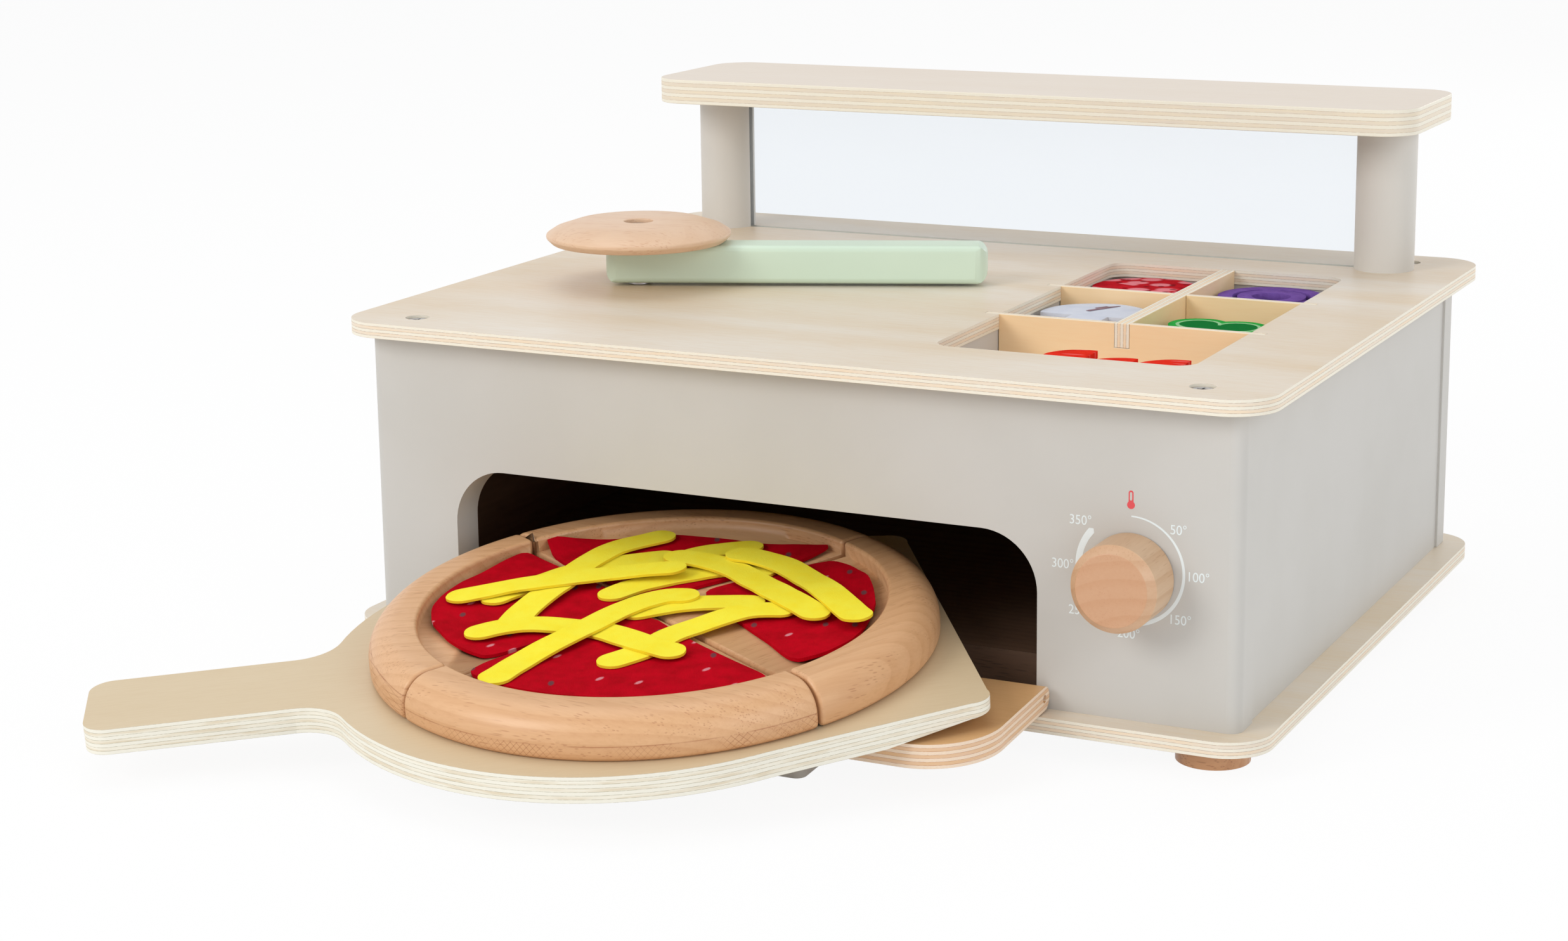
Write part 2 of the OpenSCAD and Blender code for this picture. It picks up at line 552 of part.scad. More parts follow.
module pin_washer() color(steel) at_cutter() translate([0, 0, cap_h + cutter_h]) difference() {
  cylinder(r = 7, h = 0.4);
  translate([0, 0, -e]) cylinder(r = 3.06, h = 2);
}
module pin_cap() color(steel) at_cutter() translate([0, 0, 0.3]) difference() {
  cylinder(r = 5, h = cap_h - 0.3);
  translate([0, 0, 0.6]) cylinder(r = 3, h = 2);
}

// ---- felt toppings, in stacks ----
module stack(x, y, n = 4) for (i = [0:n - 1])
  translate([x, y, z_bay + gap + i*(topping_t + 0.2)]) linear_extrude(topping_t) children();
module ring(d, w) difference() {
  circle(d = d);
  circle(d = d - 2*w);
}
module salami() color([0.72, 0.1, 0.12]) stack(cell_x[0] - 1, rear_y + 5) circle(d = salami_d);
module onion() color([0.45, 0.3, 0.65]) stack(cell_x[1], rear_y + 5) {
  ring(onion_d, onion_w);
  ring(onion_d - 2*onion_w - 4, onion_w);
}
module mushroom() color([0.87, 0.88, 0.93]) stack(cell_x[0] + 0.5, mid_y + 6) {
  intersection() { circle(d = mushroom_w); translate([-mushroom_w/2, -5]) square(mushroom_w); }
  translate([-7.5, -23]) square([15, 22]);
}
// four lobes, their centres p off the middle each way
module lobes(p, r) {
  for (sx = [-1, 1], sy = [-1, 1]) translate([sx*p, sy*p]) circle(r = r);
  square(2*p, center = true);
}
module pepper() color([0.1, 0.55, 0.25]) stack(cell_x[1], mid_y - 7) lobes(pepper_d/2 - 12, 12);
module tomato() color([0.9, 0.2, 0.12]) for (q = [[-1, 8.4], [18, 0], [37, 5]])
  stack(bay_x + q[0], bay_front + tomato_gap + tomato_d/2 + q[1]) intersection() {
    circle(d = tomato_d);
    translate([-tomato_d/2, -tomato_d/2]) square([tomato_d/2 + 2, tomato_d]);
  }

base_plate();
feet();
foot_screws();
oven_floor();
front_panel();
back_panel();
left_panel();
right_panel();
panel_dowels();
top_plate();
top_screws();
bay_floor();
bay_wall_left();
bay_wall_right();
bay_wall_front();
bay_wall_rear();
divider_long();
divider_front();
divider_rear();
post_left();
post_right();
post_dowels();
clear_pane();
serving_shelf();
hinge_eyes();
eye_screws();
door_board();
hinge_pins();
door_grip();
grip_screws();
knob();
knob_spindle();
knob_washer();
knob_collar();
peel();
slice_front();
slice_right();
slice_rear();
slice_left();
sauce_front();
sauce_right();
sauce_rear();
sauce_left();
pads_front();
pads_right();
pads_rear();
pads_left();
cheese_strips();
cutter_handle();
cutter_wheel();
cutter_pin();
pin_washer();
pin_cap();
salami();
onion();
mushroom();
pepper();
tomato();
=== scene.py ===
import bpy
import bmesh
import json
import math
import numpy as np
from mathutils import Matrix, Vector, noise


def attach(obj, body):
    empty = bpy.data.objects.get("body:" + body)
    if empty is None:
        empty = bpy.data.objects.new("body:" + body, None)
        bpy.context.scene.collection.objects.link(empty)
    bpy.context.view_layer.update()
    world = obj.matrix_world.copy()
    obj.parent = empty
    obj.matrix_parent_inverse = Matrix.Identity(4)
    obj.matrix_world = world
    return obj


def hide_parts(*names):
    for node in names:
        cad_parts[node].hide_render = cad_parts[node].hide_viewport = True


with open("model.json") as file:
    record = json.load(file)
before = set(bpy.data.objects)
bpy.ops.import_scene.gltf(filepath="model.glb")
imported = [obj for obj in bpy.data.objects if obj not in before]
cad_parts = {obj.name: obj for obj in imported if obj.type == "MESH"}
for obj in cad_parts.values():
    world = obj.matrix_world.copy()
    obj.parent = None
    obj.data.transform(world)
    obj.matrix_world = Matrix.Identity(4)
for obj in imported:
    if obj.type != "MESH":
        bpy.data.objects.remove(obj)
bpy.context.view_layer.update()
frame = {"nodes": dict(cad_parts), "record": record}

MM = 0.001                                # turns millimetres into metres; finishes are written in metres
DOOR_TILT = math.radians(3.3)             # slope of the open door
HINGE = Vector((-19, -147.9, 21.2)) * MM  # middle of its hinge line
PEEL_TILT = math.radians(6.0147)          # slope of the peel, from the door's edge to the floor board
LIP = Vector((0, -214.449, 21.870)) * MM  # top of the door's free edge
PEEL_LOW, PEEL_T = 0.3, 9.6               # the peel's underside over that line, and its thickness
PIZZA = Vector((-30, 31.9))               # pizza's centre along the peel, from the middle of the door's edge
BED = 10.2                                # underside of the slices over that line
SEAM = -28.5                              # first cut of the pizza, degrees
SAW_HALF = 0.5                            # half of a saw cut
PAD_OUT, PAD_UP, PAD_R = 94.75, 8.1, 5.2  # a pad's recess in a sawn face: how far out, how high, its radius
PLATE_R, PLATE_TOP = 85.5, 10.6           # the pizza's sunk plate
CRUST_R = 104                             # the pizza's rim, and its shoulder's middle, foot and radius
SHOULDER_AT, SHOULDER_LOW, SHOULDER_R = 93, 5.2, 11
PANEL_Y = -143                            # face of the front panel
DIAL_X, DIAL_Z = 139.3, 71.4              # the knob's axis on it
SHARP = math.radians(30)                  # edges that turn by more than this are sanded
BODY = {node: body for body, nodes in frame["record"]["behaviour"]["bodies"].items() for node in nodes}
# the pizza's own frame: x and y along the peel, z square to it, zero under the slices
on_pizza = (Matrix.Translation(LIP) @ Matrix.Rotation(PEEL_TILT, 4, "X")
            @ Matrix.Translation(Vector((PIZZA.x, PIZZA.y, BED)) * MM))
PIZZA_AT = on_pizza.translation.copy()


# ---- finishes: a small way to write shader maths ----
def ink(r, g, b):
    """A colour seen as r, g, b out of 255."""
    return tuple(((c / 255 + 0.055) / 1.055) ** 2.4 for c in (r, g, b)) + (1.0,)


class Val:
    """A socket of a finish. Arithmetic on it adds the Math nodes."""

    def __init__(self, finish, socket):
        self.finish, self.socket = finish, socket

    def maths(self, operation, *values):
        return self.finish.node("ShaderNodeMath", values, operation=operation)

    def __add__(self, other):
        return self.maths("ADD", self, other)

    def __sub__(self, other):
        return self.maths("SUBTRACT", self, other)

    def __rsub__(self, other):
        return self.maths("SUBTRACT", other, self)

    def __mul__(self, other):
        return self.maths("MULTIPLY", self, other)

    def __truediv__(self, other):
        return self.maths("DIVIDE", self, other)

    def __mod__(self, other):
        return self.maths("FLOORED_MODULO", self, other)

    def __abs__(self):
        return self.maths("ABSOLUTE", self)

    def __gt__(self, other):
        return self.maths("GREATER_THAN", self, other)

    def __lt__(self, other):
        return self.maths("LESS_THAN", self, other)

    __radd__ = __add__

    def floor(self):
        return self.maths("FLOOR", self)

    def reach(self, other):
        """Length of the arrow (self, other)."""
        return self.maths("SQRT", self * self + other * other)

    def ramp(self, low, high):
        """Soft step from 0 at low to 1 at high."""
        ins = {0: self, 1: low, 2: high}
        return self.finish.node("ShaderNodeMapRange", ins, interpolation_type="SMOOTHSTEP")

    def axis(self, name):
        return self.finish.node("ShaderNodeSeparateXYZ", [self], out=name)


class Finish:
    """One material. p is the place in the row frame, n the surface's own normal."""

    def __init__(self, name):
        self.mat = bpy.data.materials.new(name)
        self.mat.use_nodes = True
        self.tree = self.mat.node_tree
        self.tree.nodes.clear()
        coords = self.tree.nodes.new("ShaderNodeTexCoord")
        self.p = Val(self, coords.outputs["Object"])
        self.n = Val(self, coords.outputs["Normal"])

    def node(self, kind, ins=(), out=0, **settings):
        new = self.tree.nodes.new(kind)
        for key, value in settings.items():
            setattr(new, key, value)
        for key, value in ins.items() if isinstance(ins, dict) else enumerate(ins):
            if isinstance(value, Val):
                self.tree.links.new(value.socket, new.inputs[key])
            else:
                new.inputs[key].default_value = value
        return Val(self, new.outputs[out])

    def place(self, vector, origin=(0, 0, 0), turn=(0, 0, 0), size=(1, 1, 1)):
        """The vector seen from a frame at origin, turned by turn, in steps of size."""
        ins = {"Vector": vector, "Location": origin, "Rotation": turn, "Scale": size}
        return self.node("ShaderNodeMapping", ins, vector_type="TEXTURE")

    def noise(self, vector, scale, detail=2.0, roughness=0.5, distortion=0.0):
        return self.node("ShaderNodeTexNoise", {"Vector": vector, "Scale": scale, "Detail": detail,
                                                "Roughness": roughness, "Distortion": distortion})

    def cells(self, vector, scale, out="Distance", **settings):
        return self.node("ShaderNodeTexVoronoi", {"Vector": vector, "Scale": scale}, out=out, **settings)

    def mix(self, share, a, b):
        return self.node("ShaderNodeMix", {0: share, 6: a, 7: b}, out=2, data_type="RGBA")

    def blend(self, share, a, b):
        return self.node("ShaderNodeMix", {0: share, 2: a, 3: b}, out=0, data_type="FLOAT")

    def bump(self, height, depth, strength=1.0):
        return self.node("ShaderNodeBump", {"Strength": strength, "Distance": depth, "Height": height})

    def surface(self, colour, roughness, normal=None, **fixed):
        ins = {"Base Color": colour, "Roughness": roughness}
        ins.update((key.replace("_", " "), value) for key, value in fixed.items())
        if normal is not None:
            ins["Normal"] = normal
        return self.node("ShaderNodeBsdfPrincipled", ins)

    def done(self, shader):
        end = self.tree.nodes.new("ShaderNodeOutputMaterial")
        self.tree.links.new(shader.socket, end.inputs["Surface"])
        return self.mat


def sprayed(f, colour, darker, scale=1.0):
    """Sprayed paint on fine wood: colour with a faint mottle, grain, and height with orange peel."""
    cloud = f.noise(f.p, 14 * scale, 3)
    grain = f.noise(f.place(f.p, size=(1, 1, 0.08)), 900, 2)
    shade = f.mix(cloud.ramp(0.3, 0.75) * 0.8 + grain * 0.2, colour, darker)
    return shade, grain, f.noise(f.p, 1300, 2) * 0.6 + grain * 0.4


def paint(name, colour, darker, scale=1.0, roughness=0.55):
    """Matt sprayed paint."""
    f = Finish(name)
    shade, grain, height = sprayed(f, colour, darker, scale)
    return f.done(f.surface(shade, grain * 0.12 + (roughness - 0.06), f.bump(height, 0.00004, 0.35),
                            Specular_IOR_Level=0.4))


def lumber(f, p, pale, dark, fleck, heart=(0.04, -0.03), ring=0.0042, ring_share=0.26, flecks=0.5):
    """Solid wood, its grain along p's x: year rings round a far heart, fine pores, short ray flecks. ring
    is a year's width, ring_share how dark late wood is, flecks how strong the ray flecks are. Gives colour
    and height."""
    sway = f.noise(f.place(p, size=(6, 1, 1)), 30, 2, 0.5)
    out = (p.axis("Y") + sway * 0.006 - heart[0]).reach(p.axis("Z") + sway * 0.004 - heart[1]) / ring
    year = out % 1.0
    late = year.ramp(0.35, 0.92) * (1.0 - year.ramp(0.93, 1.0))
    pore = f.noise(f.place(p, size=(18, 1, 1)), 900, 3, 0.65)
    broad = f.noise(f.place(p, size=(3, 1, 1)), 22, 2)
    base = f.mix(late * ring_share + pore.ramp(0.3, 0.8) * 0.28 + broad * 0.3, pale, dark)
    dots = f.cells(f.place(p, size=(12, 1, 1)), 1300)
    gate = f.noise(f.place(p, size=(3, 1, 1)), 150, 1)
    marks = dots.ramp(0.36, 0.18) * gate.ramp(0.42, 0.6) * flecks
    return f.mix(marks, base, fleck), pore * 0.5 - marks * 0.9 - late * 0.3


SAW_STEP, CREASE = 0.0026, 0.00035    # from saw mark to saw mark, and half the width of the crease over them


def beech(name, pale, dark, fleck, turn=(0, 0, 0), gloss=0.42, origin=(0, 0, 0), band=None, ends=None,
          **grain):
    """Beech. Below the height band it shows the crossing marks of the saw; ends is the tone of its end grain,
    and grain is what lumber takes."""
    f = Finish(name)
    p = f.place(f.p, origin, turn)
    colour, height = lumber(f, p, pale, dark, fleck, **grain)
    if band is not None:
        x, z = p.axis("X") + p.axis("Y") * 0.4, p.axis("Z")
        sway = f.noise(p, 90, 1) * 0.002
        lines = [abs((x + z * k + sway) / SAW_STEP % 1.0 - 0.5).ramp(0.40, 0.5) for k in (0.9, -1.1)]
        below = (z - band).ramp(0.0002, -0.0002)
        saw = (lines[0] + lines[1]) * below * f.noise(p, 40, 1).ramp(0.40, 0.62)
        # the crease over the saw marks: a slight groove in the height, and painted shade that darkens it in
        # the colour
        crease = (1.0 - abs(z - band) / CREASE).ramp(0.0, 1.0) * f.noise(p, 60, 1).ramp(0.35, 0.6)
        colour = f.mix(saw * 0.7 + crease * 0.75 + below * 0.1, colour, fleck)
        height = height - saw * 0.4 - crease
    if ends:
        colour = f.mix(abs(f.place(f.n, turn=turn).axis("X")).ramp(0.5, 0.9) * 0.6, colour, ends)
    return f.done(f.surface(colour, height * -0.1 + gloss, f.bump(height, 0.00006, 0.5), Coat_Weight=0.08,
                            Coat_Roughness=0.35))


def ply(name, low, thick, count, pale, dark, light_edge, warm_edge, glue, turn=0.0, origin=(0, 0, 0),
        tilt=0.0, axis="Z", blotch=0.5):
    """Plywood: rotary-cut veneer on the faces, and banded plies with thin broken glue lines on the edges. The
    plies lie one on the other along axis from low, count of them in thick. turn is the way of the face's
    grain, and blotch is how cloudy the face is."""
    f = Finish(name)
    p = f.place(f.p, origin, (tilt, 0, 0))
    n = f.place(f.n, turn=(tilt, 0, 0))
    q = f.place(p, turn=(0, 0, turn))
    wave = f.noise(f.place(q, size=(5, 1, 1)), 11, 2, 0.5, 0.8)
    figure = f.node("ShaderNodeMath", [wave * 6.0, 1.0], operation="PINGPONG").ramp(0.0, 1.0)
    pore = f.noise(f.place(q, size=(12, 1, 1)), 900, 3, 0.6)
    cloud = f.noise(q, 9, 2)
    veneer = figure * (0.75 * blotch) + pore.ramp(0.35, 0.8) * 0.3 + cloud.ramp(0.3, 0.75) * (0.6 * blotch)
    face = f.mix(veneer, pale, dark)
    sway = f.noise(f.place(p, size=(1, 1, 6)), 45, 1) * 0.10 - 0.05
    level = (p.axis(axis) - low) / thick * count + sway
    inside = level % 1.0
    odd = level.floor() % 2.0
    tick = f.noise(f.place(p, size=(1, 1, 0.2)), 1500, 2, 0.6)
    long = f.noise(f.place(p, size=(16, 16, 1)), 900, 2, 0.6)
    layer = f.mix(odd, f.mix(tick.ramp(0.45, 0.75) * 0.5, light_edge, warm_edge),
                  f.mix(long.ramp(0.3, 0.75) * 0.7, warm_edge, pale))
    broken = f.noise(f.place(p, size=(1.4, 1.4, 0.4)), 900, 2, 0.6).ramp(0.36, 0.56)
    line = abs(inside - 0.5).ramp(0.43, 0.465) * (broken * 0.6 + 0.4)
    edge = f.mix(line * 0.9, layer, glue)
    side = abs(n.axis(axis)).ramp(0.8, 0.6)
    relief = f.blend(side, pore * 0.5, tick * 0.6 - line * 1.2)
    return f.done(f.surface(f.mix(side, face, edge), side * 0.15 + pore * 0.06 + 0.4,
                            f.bump(relief, 0.00005, 0.5), Coat_Weight=0.1, Coat_Roughness=0.3))


def felt(name, colour, shade, fibre, flecks=(), tint=None):
    """Pressed wool felt: matted fibres in two sizes and a soft sheen. Each fleck: its colour, cells to the
    metre, size, how long, direction, and the share of cells that have one. tint adds to the colour last."""
    f = Finish(name)
    mat_a = f.noise(f.p, 1100, 4, 0.7, 1.6)
    mat_b = f.noise(f.place(f.p, turn=(0, 0, 0.9), size=(1, 3.5, 1)), 1700, 3, 0.7, 2.2)
    clump = f.noise(f.p, 120, 3, 0.6)
    base = f.mix(clump.ramp(0.3, 0.8) * 0.8, colour, shade)
    base = f.mix(mat_b.ramp(0.6, 0.8) * 0.35, base, fibre)
    base = f.mix(mat_a.ramp(0.5, 0.3) * 0.35, base, shade)
    for tone, scale, size, long, turn, share in flecks:
        q = f.place(f.p, turn=(0, 0, turn), size=(long, 1, 1))
        far = f.cells(q, scale, voronoi_dimensions="2D") + mat_a * 0.07
        chosen = f.cells(q, scale, "Color", voronoi_dimensions="2D").axis("X") < share
        base = f.mix((far / size).ramp(1.25, 0.8) * chosen * (0.55 + mat_a * 0.5), base, tone)
    # tint comes last; for the yellow strips it is painted shade on their cut sides
    if tint:
        base = tint(f, base)
    height = mat_a * 0.7 + mat_b * 0.5 + clump * 0.3
    return f.done(f.surface(base, 0.96, f.bump(height, 0.00035, 0.65), Specular_IOR_Level=0.05))


def zinc(name):
    """Bright zinc-plated steel with fine turning marks."""
    f = Finish(name)
    fine = f.noise(f.p, 1500, 3)
    colour = f.mix(fine, ink(205, 205, 208), ink(160, 160, 166))
    return f.done(f.surface(colour, fine * 0.25 + 0.2, f.bump(fine, 0.00002, 0.4), Metallic=1.0))


def clear(name):
    """Clear acrylic: nearly all light goes through, and the rest is a soft sheen with a faint smear."""
    f = Finish(name)
    smear = f.noise(f.place(f.p, turn=(0, 0.5, 0), size=(6, 1, 1)), 30, 3, 0.6)
    edge = abs(f.n.axis("Y")).ramp(0.6, 0.4)
    tint = f.mix(edge, ink(246, 249, 252), ink(205, 222, 226))
    see = f.node("ShaderNodeBsdfTransparent", [ink(249, 251, 253)])
    gloss = f.surface(tint, smear * 0.08 + 0.05, Specular_IOR_Level=0.6)
    share = f.node("ShaderNodeFresnel", {"IOR": 1.49}) * 0.55 + smear * 0.02 + edge * 0.3
    return f.done(f.node("ShaderNodeMixShader", [share, see, gloss]))


# the oven's hollow, in metres: half its width and depth, floor and ceiling; past SIDE_X lie the outer sides
HOLLOW_X, HOLLOW_Y, HOLLOW_LOW, HOLLOW_TOP, SIDE_X = 0.1785, 0.1282, 0.0155, 0.1325, 0.177


def dark_inside(name, outer, outer_dark):
    """The panel's matt paint, and the soot-brown stain that the oven has inside."""
    f = Finish(name)
    coat, grain, height = sprayed(f, outer, outer_dark)
    stain = f.mix(f.noise(f.place(f.p, size=(8, 8, 1)), 300, 3), ink(122, 90, 68), ink(90, 66, 50))
    x, y, z = (f.p.axis(a) for a in "XYZ")
    within = (abs(x) < HOLLOW_X) * (abs(y) < HOLLOW_Y) * (z > HOLLOW_LOW) * (z < HOLLOW_TOP)
    away = 1.0 - (abs(f.n.axis("X")) > 0.5) * (abs(x) > SIDE_X)
    return f.done(f.surface(f.mix(within * away, coat, stain), grain * 0.12 + 0.5,
                            f.bump(height, 0.00004, 0.35), Specular_IOR_Level=0.35))


GREY, GREY_LOW = ink(202, 199, 194), ink(196, 193, 187)
PALE, STREAK = ink(227, 218, 205), ink(222, 201, 168)
EDGE, EDGE_WARM, GLUE = ink(236, 230, 214), ink(236, 215, 188), ink(158, 126, 104)
panel = dark_inside("matt_grey_panel", GREY, GREY_LOW)
grey = paint("matt_grey", GREY, GREY_LOW)
# painted light: the posts' grey is the body's grey made lighter, to stand for the brighter light on them
post_grey_painted_light = paint("post_grey_painted_light", ink(213, 209, 202), ink(207, 202, 195))
# each board: its underside, its thickness and how many plies
base_ply = ply("base_ply", 0.010, 0.006, 5, PALE, STREAK, EDGE, EDGE_WARM, GLUE)
top_ply = ply("top_ply", 0.132, 0.006, 5, PALE, ink(214, 189, 154), EDGE, EDGE_WARM, GLUE, blotch=0.55)
shelf_ply = ply("shelf_ply", 0.1986, 0.011, 7, ink(222, 210, 196), ink(216, 200, 182), EDGE,
                ink(232, 218, 194), ink(196, 174, 152), blotch=0.3)
door_ply = ply("door_ply", -0.0045, 0.009, 7, ink(224, 180, 128), ink(208, 160, 108), ink(238, 216, 192),
               ink(226, 190, 158), ink(184, 128, 96), origin=HINGE, tilt=DOOR_TILT)
peel_ply = ply("peel_ply", PEEL_LOW * MM, PEEL_T * MM, 7, ink(215, 196, 163), ink(206, 182, 144),
               ink(238, 234, 220), ink(240, 235, 220), ink(166, 156, 128), turn=math.radians(34.9),
               origin=LIP, tilt=PEEL_TILT, blotch=0.25)
bay_ply = ply("bay_ply", 0.120, 0.004, 3, PALE, STREAK, EDGE, EDGE_WARM, GLUE)
MAPLE, MAPLE_LOW = ink(248, 220, 178), ink(244, 208, 160)
long_ply = ply("long_divider_ply", 0.094, 0.006, 5, MAPLE, MAPLE_LOW, EDGE, EDGE_WARM, GLUE, axis="X")
cross_ply = {side: ply(f"{side}_divider_ply", (y - 1.5) * MM, 0.003, 3, MAPLE, MAPLE_LOW, EDGE, EDGE_WARM,
                       GLUE, axis="Y") for side, y in (("front", -38.3), ("rear", 27.5))}
BEECH, BEECH_LOW, FLECK = ink(224, 178, 133), ink(200, 147, 101), ink(170, 112, 72)
slice_beech = {side: beech(f"{side}_slice_beech", BEECH, BEECH_LOW, FLECK, (PEEL_TILT, 0, math.radians(turn)),
                           origin=PIZZA_AT, band=0.0054, heart=heart)
               for side, turn, heart in (("right", 62, (0.05, -0.05)), ("rear", -6, (0.09, -0.04)),
                                         ("left", 28, (-0.07, -0.06)), ("front", -3, (-0.10, -0.05)))}
foot_beech = beech("foot_beech", ink(214, 164, 122), ink(190, 136, 96), ink(150, 98, 62))
knob_beech = beech("knob_beech", ink(216, 184, 150), ink(196, 156, 118), ink(160, 108, 74),
                   (0, 0, math.radians(90)), origin=(0.1395, -0.15, 0.0691), heart=(-0.008, -0.042),
                   ring=0.0062, ring_share=0.42, flecks=0.25, ends=ink(198, 140, 102))
wheel_beech = beech("wheel_beech", ink(226, 192, 160), ink(216, 176, 142), ink(188, 128, 90), (0, 0, 0.2),
                    flecks=0.45, ring_share=0.2)
peg_beech = beech("peg_beech", BEECH, BEECH_LOW, FLECK)
hearth = beech("stained_floor_board", ink(104, 77, 59), ink(78, 57, 43), ink(40, 28, 20), gloss=0.6)
mint = paint("mint", ink(212, 230, 210), ink(205, 224, 204), roughness=0.35)
steel = zinc("zinc_plated_steel")
acrylic = clear("clear_acrylic")


PEPPER = (("X", 0.12390), ("Y", -0.01240))    # the pepper slice's middle
LOBE_AT, LOBE_R = 0.008, 0.012                # its four lobes: how far out, and their radius


def pepper_tint(f, base):
    """Green rim, a pale line inside it, and a dark middle."""
    x, y = (abs(f.p.axis(a) - at) for a, at in PEPPER)
    middle = (x < 0.0088) * (y < 0.0088)
    depth = LOBE_R - (x - LOBE_AT).reach(y - LOBE_AT) + middle * 0.02 + f.noise(f.p, 500, 2) * 0.0008
    base = f.mix(depth > 0.0034, base, ink(150, 205, 150))
    return f.mix(depth > 0.0048, base, ink(12, 116, 50))


def side_painted_shade(f, base):
    """Painted shade: a deeper yellow on the cut sides, which see little light."""
    return f.mix(abs(f.n.axis("Z")).ramp(0.75, 0.25) * 0.5, base, ink(230, 184, 28))


red = felt("red_felt", ink(194, 0, 28), ink(158, 0, 18), ink(216, 24, 52),
           [(ink(84, 70, 76), 84, 0.12, 1.9, 2.0, 0.4), (ink(224, 150, 160), 90, 0.11, 2.0, 1.3, 0.36)])
# the yellow felt's cut sides take painted shade
yellow = felt("yellow_felt", ink(255, 242, 72), ink(255, 234, 52), ink(255, 248, 150), tint=side_painted_shade)
salami_felt = felt("salami_felt", ink(206, 24, 38), ink(160, 8, 26), ink(226, 80, 90),
                   [(ink(240, 150, 160), 120, 0.42, 1.3, 0.3, 0.85),
                    (ink(120, 8, 24), 230, 0.3, 1.2, 0.9, 0.3)])
onion_felt = felt("onion_felt", ink(128, 94, 176), ink(100, 66, 146), ink(186, 160, 218))
mushroom_felt = felt("mushroom_felt", ink(217, 221, 232), ink(204, 210, 225), ink(232, 236, 244))
pepper_felt = felt("pepper_felt", ink(52, 176, 74), ink(30, 150, 58), ink(110, 210, 120), tint=pepper_tint)
tomato_felt = felt("tomato_felt", ink(236, 48, 26), ink(206, 26, 20), ink(244, 98, 74),
                   [(ink(240, 96, 92), 260, 0.3, 4.0, 0.1, 0.45)])
print_white = paint("print_white", ink(232, 239, 240), ink(227, 235, 236), 4.0)
print_red = paint("print_red", ink(226, 84, 88), ink(218, 76, 82), 4.0)
print_brown = paint("print_brown", ink(150, 122, 132), ink(138, 110, 120), 4.0, 0.9)
pad_fuzz = felt("pad_fuzz", ink(196, 178, 150), ink(176, 158, 130), ink(220, 206, 184))


# ---- pieces ----
def piece(name, bm, finish, body):
    """A finished mesh, riding on a body, at the origin."""
    mesh = bpy.data.meshes.new(name)
    bm.to_mesh(mesh)
    bm.free()
    made = bpy.data.objects.new(name, mesh)
    bpy.context.scene.collection.objects.link(made)
    mesh.materials.append(finish)
    mesh.polygons.foreach_set("use_smooth", [True] * len(mesh.polygons))
    mesh.update()
    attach(made, body)
    return made


def from_node(node):
    """A merged copy of a CAD node's mesh, with its flat faces whole again."""
    bm = bmesh.new()
    bm.from_mesh(frame["nodes"][node].data)
    bmesh.ops.remove_doubles(bm, verts=bm.verts, dist=1e-6)
    bmesh.ops.dissolve_limit(bm, angle_limit=math.radians(0.4), verts=bm.verts, edges=bm.edges)
    return bm


def sanded(made, name, width, segments, limit="ANGLE", angle=SHARP):
    """Rounds the edges that turn by more than angle, or those with a weight."""
    soft = made.modifiers.new(name, "BEVEL")
    soft.width, soft.segments = width, segments
    soft.limit_method, soft.angle_limit = limit, angle
    soft.harden_normals = True
    return soft


def eased(node, finish, width):
    """A CAD node's own shape with its edges sanded round, width in mm."""
    slot = next(s["material_slot"] for s in frame["record"]["subparts"] if s["node"] == node)
    made = piece(node + "_eased", from_node(node), finish, BODY[node])
    made.data.set_sharp_from_angle(angle=SHARP)
    sanded(made, "eased edges", width * MM, 2)
    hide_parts(node)


def finish_node(node, finish):
    """A CAD node that stays as it is and takes a finish."""
    shown = frame["nodes"][node]
    shown.data.materials.clear()
    shown.data.materials.append(finish)


for node, finish, width in [
    ("base_plate", base_ply, 0.8), ("top_plate", top_ply, 0.7), ("serving_shelf", shelf_ply, 0.9),
    ("front_panel", panel, 0.8), ("back_panel", panel, 0.8), ("left_panel", panel, 0.5),
    ("right_panel", panel, 0.5), ("door_board", door_ply, 0.9), ("peel", peel_ply, 1.3),
    ("door_grip", grey, 0.8),
    ("cutter_handle", mint, 0.4), ("cutter_wheel", wheel_beech, 0.5), ("knob", knob_beech, 0.6),
    ("divider_long", long_ply, 0.25), ("divider_front", cross_ply["front"], 0.25),
    ("divider_rear", cross_ply["rear"], 0.25),
]:
    eased(node, finish, width)


def sliced(side, quarter, finish):
    """A slice with its sawn edges sanded round; the recesses for the pads stay sharp."""
    node = "slice_" + side
    bm = from_node(node)
    weight = bm.edges.layers.float.new("bevel_weight_edge")
    local = (on_pizza @ Matrix.Rotation(math.radians(SEAM + 90 * quarter), 4, "Z")).inverted()
    for edge in bm.edges:
        ends = [local @ v.co / MM for v in edge.verts]
        flat = [[all(abs((local @ v.co / MM)[axis] - SAW_HALF) < 0.02 for v in face.verts) for axis in (0, 1)]
                for face in edge.link_faces]
        sawn = len(flat) == 2 and flat[0] != flat[1]
        pad = any(math.hypot(max(p.x, p.y) - PAD_OUT, p.z - PAD_UP) < PAD_R for p in ends)
        edge[weight] = 1.0 if sawn and not pad else 0.0
    made = piece(node + "_eased", bm, finish, side + "_slice")
    made.data.set_sharp_from_angle(angle=SHARP)
    sanded(made, "eased saw cuts", 1.5 * MM, 3, "WEIGHT").use_clamp_overlap = False
    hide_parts(node)


for quarter, side in enumerate(("right", "rear", "left", "front")):
    sliced(side, quarter, slice_beech[side])

